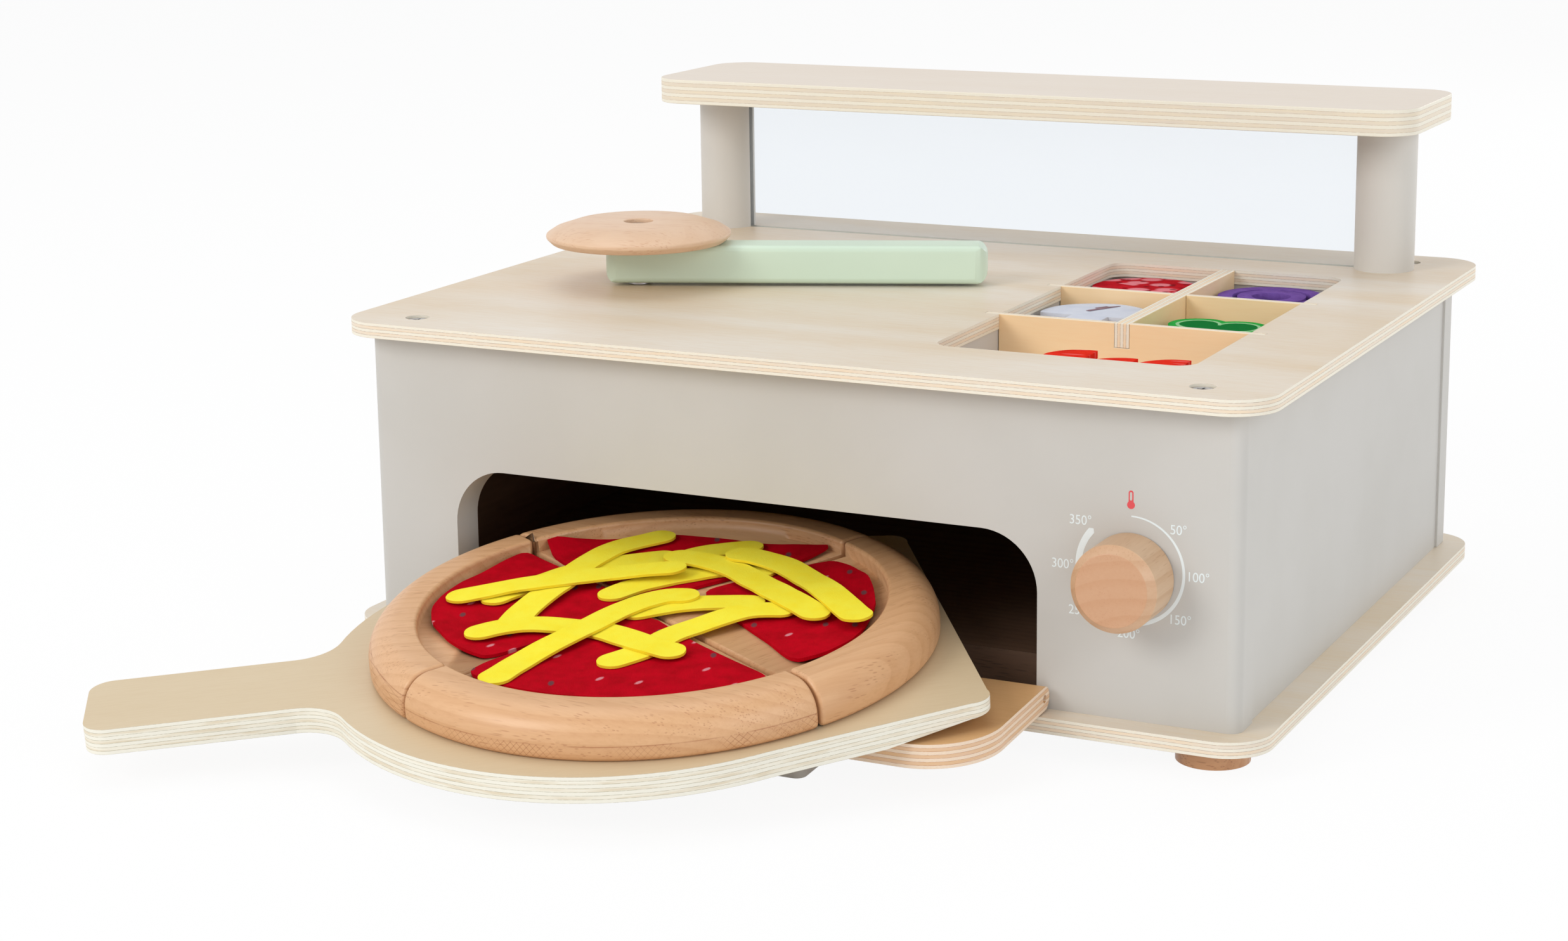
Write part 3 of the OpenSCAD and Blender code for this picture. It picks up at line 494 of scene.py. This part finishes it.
for finish, nodes in [
    (foot_beech, ["feet"]), (bay_ply, ["bay_floor"]), (acrylic, ["clear_pane"]), (hearth, ["oven_floor"]),
    (pad_fuzz, ["pads_front", "pads_right", "pads_rear", "pads_left"]),
    (grey, ["bay_wall_left", "bay_wall_right", "bay_wall_front", "bay_wall_rear"]),
    # the posts in their lighter grey, which is painted light
    (post_grey_painted_light, ["post_left", "post_right"]),
    (peg_beech, ["panel_dowels", "post_dowels", "knob_spindle", "knob_collar"]),
    (steel, ["foot_screws", "top_screws", "hinge_eyes", "eye_screws", "hinge_pins", "grip_screws",
             "knob_washer", "cutter_pin", "pin_washer", "pin_cap"]),
]:
    for node in nodes:
        finish_node(node, finish)


# ---- print on the front panel ----
DIAL = Vector((DIAL_X, PANEL_Y, DIAL_Z)) * MM
RING_R, RING_SWEEP = 19.6, math.radians(314)
HAIR, SWELL, END_HALF = 0.25, 1.05, 1.3    # the ring's half width: at the top, what it gains, at its end
SPIN_R = 60                                # radius the ring is spun at, before its points go to their places


def thickened(bm, rise):
    """Gives flat faces a thickness."""
    bmesh.ops.recalc_face_normals(bm, faces=bm.faces)
    grown = bmesh.ops.extrude_face_region(bm, geom=bm.faces[:])
    bmesh.ops.translate(bm, verts=[v for v in grown["geom"] if isinstance(v, bmesh.types.BMVert)], vec=rise)
    bmesh.ops.recalc_face_normals(bm, faces=bm.faces)


def flat_print(name, bm, finish):
    """A printed patch: a film of ink on the panel's face, drawn in x and z."""
    thickened(bm, (0, -0.00005, 0))
    made = piece(name, bm, finish, "oven")
    made.data.polygons.foreach_set("use_smooth", [False] * len(made.data.polygons))


def on_panel(x, z):
    """The frame of a print that is drawn flat and stood on the panel's face, its middle at x and z."""
    return Matrix.Translation(Vector((x, PANEL_Y, z)) * MM) @ Matrix.Rotation(math.radians(90), 4, "X")


def dial_ring():
    """The ring round the knob: a hairline at the top that swells clockwise to a round end."""
    bm = bmesh.new()
    across = [bm.verts.new((0, 0, r)) for r in (-1.0, 1.0)]
    rail = [bm.edges.new(across)]
    bmesh.ops.spin(bm, geom=across + rail, cent=(0, 0, -SPIN_R), axis=(0, 1, 0), dvec=(0, 0, 0),
                   angle=RING_SWEEP, steps=110)
    for v in bm.verts:
        side = 1 if math.hypot(v.co.x, v.co.z + SPIN_R) > SPIN_R else -1
        turn = math.atan2(v.co.x, v.co.z + SPIN_R) % math.tau
        half = HAIR + SWELL * (turn / RING_SWEEP) ** 1.1
        end = max(0.0, (turn - RING_SWEEP) * RING_R + END_HALF)
        if end > 0:
            half = math.sqrt(max(0.02, END_HALF ** 2 - end ** 2))
        r = (RING_R + side * half) * MM
        v.co = DIAL + Vector((math.sin(turn) * r, 0, math.cos(turn) * r))
    flat_print("dial_ring", bm, print_white)


def words(name, text, x, z, size, finish):
    """A number, set in x and z on the panel."""
    curve = bpy.data.curves.new(name, "FONT")
    curve.body, curve.size, curve.align_x, curve.align_y = text, size * MM, "CENTER", "CENTER"
    holder = bpy.data.objects.new(name, curve)
    bpy.context.scene.collection.objects.link(holder)
    bpy.context.view_layer.update()
    mesh = bpy.data.meshes.new_from_object(holder.evaluated_get(bpy.context.evaluated_depsgraph_get()))
    bpy.data.objects.remove(holder)
    bm = bmesh.new()
    bm.from_mesh(mesh)
    bmesh.ops.remove_doubles(bm, verts=bm.verts, dist=1e-7)
    bmesh.ops.transform(bm, matrix=on_panel(x, z) @ Matrix.Diagonal((0.92, 1, 1, 1)), verts=bm.verts)
    flat_print(name, bm, finish)


dial_ring()
# the scale's numbers, from the knob's axis
for text, x, z in [("350°", -19.0, 16.1), ("50°", 17.4, 16.2), ("100°", 24.8, -0.1), ("150°", 18.4, -16.3),
                   ("200°", -0.5, -23.5), ("250°", -19.0, -17.1), ("300°", -25.6, -0.6)]:
    words("dial_" + text[:-1], text, DIAL_X + x, DIAL_Z + z, 4.95, print_white)


def outline(points):
    """A flat face from its outline."""
    bm = bmesh.new()
    bmesh.ops.contextual_create(bm, geom=[bm.verts.new((x, y, 0)) for x, y in points])
    return bm


def arc(x, y, r, start, end, count):
    return [(x + r * math.cos(t), y + r * math.sin(t)) for t in np.linspace(start, end, count)]


def thermometer():
    """The small thermometer over the dial: a bulb, a round-topped stem, and the stem's pale column."""
    bulb, stem, thread = 1.45, 0.9, 0.42    # half widths
    neck = math.acos(stem / bulb)
    body = arc(0, bulb, bulb, math.pi - neck, math.tau + neck, 33) + arc(0, 5.8, stem, 0, math.pi, 17)
    column = arc(0, 3.5, thread, -math.pi, 0, 9) + arc(0, 5.7, thread, 0, math.pi, 9)
    for name, points, finish, out in [("thermometer", body, print_red, 0),
                                      ("thermometer_column", column, grey, 0.06)]:
        bm = outline(points)
        turn = on_panel(139.1, 93.6) @ Matrix.Scale(MM, 4) @ Matrix.Translation((0, 0, out))
        bmesh.ops.transform(bm, matrix=turn, verts=bm.verts)
        flat_print(name, bm, finish)


thermometer()


# ---- felt ----
GRID = 120    # the bed's grid reaches this far from the pizza's centre, in steps of 1 mm
BEND = 160.0  # a strip falls away from a high point on a curve of this radius
AIR = 0.15    # between a strip and what is under it


def distances(points):
    """How far along a line each of its points is."""
    return np.r_[0, np.cumsum(np.hypot(*np.diff(points, axis=0).T))]


class Bed:
    """How high the pizza and what lies on it already reaches, in mm, on a 1 mm grid round its centre."""

    def __init__(self):
        y, x = np.mgrid[-GRID:GRID + 1, -GRID:GRID + 1]
        r = np.hypot(x, y)
        rounding = np.sqrt(np.maximum(0, SHOULDER_R ** 2 - np.maximum(0, r - SHOULDER_AT) ** 2))
        self.h = np.where(r < PLATE_R, PLATE_TOP, np.where(r < CRUST_R, SHOULDER_LOW + rounding, -9.9))

    def cells(self, points):
        return tuple(np.clip(np.rint(points[:, i] + GRID).astype(int), 0, 2 * GRID) for i in (1, 0))

    def drape(self, points, across, width, thick):
        """Heights of a strip along its middle line: clear of what is under it, no bend too tight."""
        need = np.full(len(points), -99.0)
        for o in np.linspace(-width / 2, width / 2, 9):
            need = np.maximum(need, self.h[self.cells(points + o * across)])
        need += AIR
        s = distances(points)
        high = np.max(need[None, :] - (s[:, None] - s[None, :]) ** 2 / (2 * BEND), axis=1)
        for _ in range(3):
            high = np.maximum(np.convolve(np.pad(high, 2, mode="edge"), np.ones(5) / 5, "valid"), need)
        for o in np.linspace(-width / 2, width / 2, 27):
            np.maximum.at(self.h, self.cells(points + o * across), high + thick)
        return high


def felt_edges(made, thick, rim=0.5):
    """Gives a flat sheet its thickness upwards and rounds its rim."""
    solid = made.modifiers.new("thickness", "SOLIDIFY")
    solid.thickness, solid.offset = thick, 1.0
    sanded(made, "soft rim", rim * MM, 2, angle=math.radians(50))


def cut_across(bm, axis, places):
    """Cuts a flat sheet at these places along an axis, so that it can bend."""
    for at in places:
        co, no = [0, 0, 0], [0, 0, 0]
        co[axis], no[axis] = at, 1
        bmesh.ops.bisect_plane(bm, geom=bm.verts[:] + bm.edges[:] + bm.faces[:], dist=1e-6, plane_co=co,
                               plane_no=no)


def flat_area(bm):
    """The area of all faces, in square metres once the mesh is in metres."""
    return sum(face.calc_area() for face in bm.faces)


bed = Bed()
# sauce: how much its far rim stands up, and its outline on the pizza
SAUCE = {
    "front": (0.3, [(-2, -3), (27, -21), (49, -32), (68, -41), (66, -45), (56, -56), (42, -67), (24, -75),
                    (4, -79), (-16, -78), (-35, -72), (-33, -60), (-22, -38)]),
    "left": (1.5, [(-8, 4), (-36, 18), (-64, 31), (-77, 36), (-80, 20), (-83, 2), (-83, -14), (-80, -26),
                   (-72, -38), (-60, -48), (-46, -56), (-36, -58), (-24, -38), (-14, -16)]),
    "rear": (2.0, [(-8, 9), (-30, 20), (-62, 34), (-76, 49), (-66, 50), (-50, 60), (-28, 70), (-8, 73),
                   (15, 72), (28, 77), (35, 79), (31, 63), (18, 47), (3, 24)]),
    "right": (1.8, [(8, 22), (20, 40), (34, 58), (42, 64), (52, 61), (62, 53), (70, 42), (77, 28), (82, 8),
                    (83, -7), (79, -18), (71, -27), (53, -13), (37, -1), (20, 12)]),
}
FELT_T = 1.3                     # the sauce's thickness
SAUCE_LOW = 10.9                 # its underside
LIFT_FROM, LIFT_OVER = 58, 26    # its rim rises from this far out, over this much
NEAR, FAR = 0.82, 0.18           # where the outline's corners are cut, as shares of an edge
for side, (lift, rim) in SAUCE.items():
    rim = np.array(rim, float)
    for _ in range(2):      # cut the corners twice, so that the outline runs soft
        after = np.roll(rim, -1, axis=0)
        rim = np.stack([rim * NEAR + after * FAR, rim * FAR + after * NEAR], axis=1).reshape(-1, 2)
    bm = outline(rim)
    for axis in (0, 1):
        cut_across(bm, axis, np.arange(-92, 93, 4))
    for v in bm.verts:
        x, y = v.co.x, v.co.y
        wobble = noise.noise(Vector((x, y, lift)) * 0.05)
        rise = lift * min(1.0, max(0.0, (v.co.length - LIFT_FROM) / LIFT_OVER)) ** 2 * (0.8 + wobble)
        v.co = Vector((x + wobble * 0.5, y + wobble * 0.4, SAUCE_LOW + rise + abs(wobble) * 0.25))
    for face in bm.faces:
        box = tuple(slice(int(min(v.co[i] for v in face.verts)) + GRID,
                          int(max(v.co[i] for v in face.verts)) + GRID + 2) for i in (1, 0))
        high = max(v.co.z for v in face.verts) + FELT_T
        bed.h[box] = np.maximum(bed.h[box], high)
    bmesh.ops.transform(bm, matrix=on_pizza @ Matrix.Scale(MM, 4), verts=bm.verts)
    size = flat_area(bm)
    bmesh.ops.recalc_face_normals(bm, faces=bm.faces)
    if sum(face.normal.z for face in bm.faces) < 0:
        bmesh.ops.reverse_faces(bm, faces=bm.faces)
    made = piece("sauce_felt_" + side, bm, red, side + "_slice")
    felt_edges(made, FELT_T * MM)
    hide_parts("sauce_" + side)

# strips: middle line on the pizza, from the lowest to the one on top
STRIPS = [
    [(-62, -13), (-55, 6), (-47, 24), (-34, 38), (-20, 48)],
    [(-30, 65), (-41, 51), (-45, 31), (-44, 6), (-44, -19), (-41, -35)],
    [(-22, 5), (-16, 19), (-4, 32), (9, 43), (24, 45)],
    [(-5, -8), (5, 4), (18, 11), (34, 16)],
    [(9, -50), (16, -38), (19, -21), (27, -7), (37, 6), (49, 11)],
    [(-49, -45), (-41, -35), (-26, -28), (-9, -26), (13, -33), (29, -37)],
    [(8, 66), (0, 61), (-8, 53), (-12, 44)],
    [(-22, -77), (-20, -57), (-13, -32), (-8, -7), (0, 9), (9, 12)],
    [(63, 9), (43, 21), (17, 38), (-1, 43), (-15, 43)],
    [(80, 7), (63, 23), (37, 45), (18, 51), (8, 50)],
    [(-75, -17), (-60, -4), (-43, 9), (-25, 23), (-6, 30)],
]
STRIP_W, STRIP_T = 12.4, 1.1                    # the strips' width and thickness
END_OUT = 3.5                                   # how far a strip runs on past its first and last point
END_ROWS = [0, 0.35, 1.0, 2.0, 3.3, 4.8, 6.5]   # its rows of points lie close together at the round ends
ROW_STEP, STRIP_COLUMNS = 2.0, 6


def middle_line(knots):
    """A smooth line through a strip's points, in 24 steps from each to the next."""
    line = np.array(knots, float)
    for end, inner in ((0, 1), (-1, -2)):
        line[end] += END_OUT * (line[end] - line[inner]) / np.hypot(*(line[end] - line[inner]))
    line = np.vstack([2 * line[0] - line[1], line, 2 * line[-1] - line[-2]])
    dense = []
    for a, b, c, d in zip(line, line[1:], line[2:], line[3:]):
        for k in np.linspace(0, 1, 24, endpoint=False):
            dense.append(0.5 * (2 * b + (c - a) * k + (2 * a - 5 * b + 4 * c - d) * k * k
                                + (3 * b - a - 3 * c + d) * k ** 3))
    return np.array(dense + [line[-2]])


def softened(values):
    return np.convolve(np.pad(values, 1, mode="reflect", reflect_type="odd"), [0.25, 0.5, 0.25], "valid")


def felt_strip(number, knots):
    """One strip, draped over the bed, which it then adds to. The waviness is fixed by the strip's number."""
    dense = middle_line(knots)
    along = distances(dense)
    length, r = along[-1], STRIP_W / 2
    s = np.array(END_ROWS + list(np.arange(8.5, length - 7.5, ROW_STEP))
                 + [length - e for e in reversed(END_ROWS)])
    mid = np.c_[softened(np.interp(s, along, dense[:, 0])), softened(np.interp(s, along, dense[:, 1]))]
    tangent = np.gradient(mid, s, axis=0)
    tangent /= np.linalg.norm(tangent, axis=1)[:, None]
    across = np.c_[-tangent[:, 1], tangent[:, 0]]
    high = bed.drape(mid, across, STRIP_W, STRIP_T)
    bm = bmesh.new()
    bmesh.ops.create_grid(bm, x_segments=len(s) - 1, y_segments=STRIP_COLUMNS, size=0.5)
    for v in bm.verts:
        i = int(round((v.co.x + 0.5) * (len(s) - 1)))
        o = v.co.y * 2
        edge = min(s[i], length - s[i])
        half = r if edge >= r else math.sqrt(max(0.8, r ** 2 - (r - edge) ** 2))
        half += 0.25 * noise.noise(Vector((s[i] * 0.11, o, number * 3.1)))
        at = mid[i] + across[i] * o * half
        wave = noise.noise(Vector((at[0] * 0.07, at[1] * 0.07, number)))
        v.co = Vector((at[0], at[1], high[i] + 0.25 * wave))
    bmesh.ops.transform(bm, matrix=on_pizza @ Matrix.Scale(MM, 4), verts=bm.verts)
    size = flat_area(bm)
    if sum(face.normal.z for face in bm.faces) < 0:
        bmesh.ops.reverse_faces(bm, faces=bm.faces)
    made = piece(f"strip_{number:02d}", bm, yellow, "cheese")
    felt_edges(made, STRIP_T * MM)
    # the flat length is the area over the width and 2 % for the round ends: 1 to 2 mm less than the middle
    # line; every strip names the front slice here, though most of them lie on the other slices
    size / (STRIP_W * MM) * 1.02
    return made


made = [felt_strip(number, knots) for number, knots in enumerate(STRIPS, 1)]
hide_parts("cheese_strips")


def islands_of(bm):
    """The loose pieces of a mesh as sets of points, from the lowest up and from left to right."""
    left = set(bm.verts)
    islands = []
    while left:
        seed = left.pop()
        island, todo = {seed}, [seed]
        while todo:
            for edge in todo.pop().link_edges:
                for v in edge.verts:
                    if v in left:
                        left.discard(v)
                        island.add(v)
                        todo.append(v)
        islands.append(island)
    return sorted(islands, key=lambda island: (min(v.co.z for v in island), min(v.co.x for v in island)))


def felt_layers(node, finish):
    """Each loose layer of a stack as its own sheet of felt, with a soft rim and a slight wave."""
    whole = from_node(node)
    for number, island in enumerate(islands_of(whole)):
        bm = whole.copy()
        index = {v.index for v in island}
        bm.verts.ensure_lookup_table()
        bmesh.ops.delete(bm, geom=[v for v in bm.verts if v.index not in index], context="VERTS")
        low, top = min(v.co.z for v in bm.verts), max(v.co.z for v in bm.verts)
        xs, ys = [v.co.x for v in bm.verts], [v.co.y for v in bm.verts]
        # keep the underside, which felt_edges then gives its thickness
        bmesh.ops.delete(bm, geom=[f for f in bm.faces if not f.normal.z < -0.9], context="FACES")
        area = flat_area(bm)
        for axis, values in ((0, xs), (1, ys)):
            cut_across(bm, axis, np.arange(min(values) + 0.003, max(values) - 0.001, 0.004))
        for v in bm.verts:
            q = v.co * 45
            v.co.z = low + 0.0002 * noise.noise(q + Vector((0, 0, number)))
            v.co.x += 0.0003 * noise.noise(v.co * 160 + Vector((number, 0, 0)))
            v.co.y += 0.0003 * noise.noise(v.co * 160 + Vector((0, number, 9)))
        bmesh.ops.reverse_faces(bm, faces=bm.faces)
        made = piece(f"{node}_layer_{number:02d}", bm, finish, node)
        felt_edges(made, top - low - 0.0001, 0.4)
    whole.free()
    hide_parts(node)


for node, finish in [("salami", salami_felt), ("onion", onion_felt), ("mushroom", mushroom_felt),
                     ("pepper", pepper_felt), ("tomato", tomato_felt)]:
    felt_layers(node, finish)


# the brown stroke printed on the top mushroom: middle line and half width
STROKE = [(66.2, 4.3, 0.9), (67.6, 10.8, 0.95), (70.5, 15.5, 0.6), (74.9, 18.2, 0.25)]
STROKE_Z = 133.0
bm = outline([(x + w, y - w * 0.4) for x, y, w in STROKE]
             + [(x - w, y + w * 0.4) for x, y, w in reversed(STROKE)])
bmesh.ops.transform(bm, matrix=Matrix.Scale(MM, 4) @ Matrix.Translation((0, 0, STROKE_Z)), verts=bm.verts)
thickened(bm, (0, 0, 0.0001))
piece("mushroom_stroke", bm, print_brown, "mushroom")


# ---- floor, light and camera ----
LOOKING = ("Camera", "Glossy", "Transmission")    # the rays that see the backdrop as white


def stage_finish():
    """A white floor that only the object's soft shadow darkens."""
    f = Finish("white_floor")
    lit = f.node("ShaderNodeBsdfDiffuse", [ink(252, 252, 252)])
    white = f.node("ShaderNodeEmission", [(1, 1, 1, 1), 1.0])
    seen = sum((f.node("ShaderNodeLightPath", out=f"Is {ray} Ray") for ray in LOOKING), 0.0)
    return f.done(f.node("ShaderNodeMixShader", [seen * 0.92, lit, white]))


bm = bmesh.new()
bmesh.ops.create_grid(bm, x_segments=1, y_segments=1, size=6)
floor_mesh = bpy.data.meshes.new("floor")
bm.to_mesh(floor_mesh)
bm.free()
floor = bpy.data.objects.new("floor", floor_mesh)
floor.data.materials.append(stage_finish())
floor.location.z = -0.0002
bpy.context.scene.collection.objects.link(floor)

world = bpy.data.worlds.new("studio")
world.use_nodes = True
bpy.context.scene.world = world
sky = world.node_tree
sky.nodes.clear()
even, white = sky.nodes.new("ShaderNodeBackground"), sky.nodes.new("ShaderNodeBackground")
even.inputs["Color"].default_value, even.inputs["Strength"].default_value = (0.97, 0.985, 1, 1), 0.58
white.inputs["Color"].default_value, white.inputs["Strength"].default_value = (1, 1, 1, 1), 1.0
path, pick = sky.nodes.new("ShaderNodeLightPath"), sky.nodes.new("ShaderNodeMixShader")
either = [sky.nodes.new("ShaderNodeMath"), sky.nodes.new("ShaderNodeMath")]
out = sky.nodes.new("ShaderNodeOutputWorld")
rays = [path.outputs[f"Is {ray} Ray"] for ray in LOOKING]
for start, end in [(rays[0], either[0].inputs[0]), (rays[1], either[0].inputs[1]),
                   (either[0].outputs[0], either[1].inputs[0]), (rays[2], either[1].inputs[1]),
                   (either[1].outputs[0], pick.inputs[0]), (even.outputs[0], pick.inputs[1]),
                   (white.outputs[0], pick.inputs[2]), (pick.outputs[0], out.inputs[0])]:
    sky.links.new(start, end)


def softbox(name, at, aim, size, power, colour=(1, 1, 1)):
    """A soft lamp at a place, turned to aim."""
    lamp = bpy.data.lights.new(name, "AREA")
    lamp.shape, lamp.size, lamp.size_y = "RECTANGLE", *size
    lamp.energy, lamp.color = power, colour
    holder = bpy.data.objects.new(name, lamp)
    holder.location = at
    holder.rotation_mode = "QUATERNION"
    holder.rotation_quaternion = (Vector(aim) - Vector(at)).to_track_quat("-Z", "Y")
    bpy.context.scene.collection.objects.link(holder)


softbox("key", (-1.2, -2.1, 1.35), (0, -0.1, 0.08), (1.1, 1.1), 26, (1, 0.985, 0.965))
softbox("overhead", (-0.5, 0.0, 2.0), (-0.1, 0, 0.1), (1.4, 1.4), 7.5)
softbox("fill", (1.9, -1.0, 0.9), (0, 0, 0.1), (1.0, 1.4), 11, (0.96, 0.98, 1))
softbox("rear", (0.85, 1.9, 0.62), (0, 0.1, 0.14), (0.9, 0.6), 10)

PHOTO_W, SENSOR = 2473, 36.0       # width of the photograph in pixels, and of the camera's sensor in mm
FOCUS, SHIFT = 4625.667, -120      # focal length and vertical lens shift, in pixels of the photograph
EYE = (0.480674, -1.084655, 0.355138)
AZ, EL, ROLL = -0.4690652, -0.2165898, -0.0131709    # the way the camera looks and how far it leans, radians
view = bpy.data.cameras.new("view")
camera = bpy.data.objects.new("view", view)
ahead = Vector((math.sin(AZ) * math.cos(EL), math.cos(AZ) * math.cos(EL), math.sin(EL)))
right = ahead.cross(Vector((0, 0, 1))).normalized()
up = right.cross(ahead)
right, up = (math.cos(ROLL) * right + math.sin(ROLL) * up, -math.sin(ROLL) * right + math.cos(ROLL) * up)
camera.matrix_world = Matrix.Translation(EYE) @ Matrix((right, up, -ahead)).transposed().to_4x4()
view.sensor_width, view.lens = SENSOR, FOCUS * SENSOR / PHOTO_W
view.shift_x, view.shift_y = 0.0, SHIFT / PHOTO_W
view.clip_start, view.clip_end = 0.05, 30
bpy.context.scene.collection.objects.link(camera)
bpy.context.scene.camera = camera
bpy.context.scene.view_settings.view_transform = "Standard"
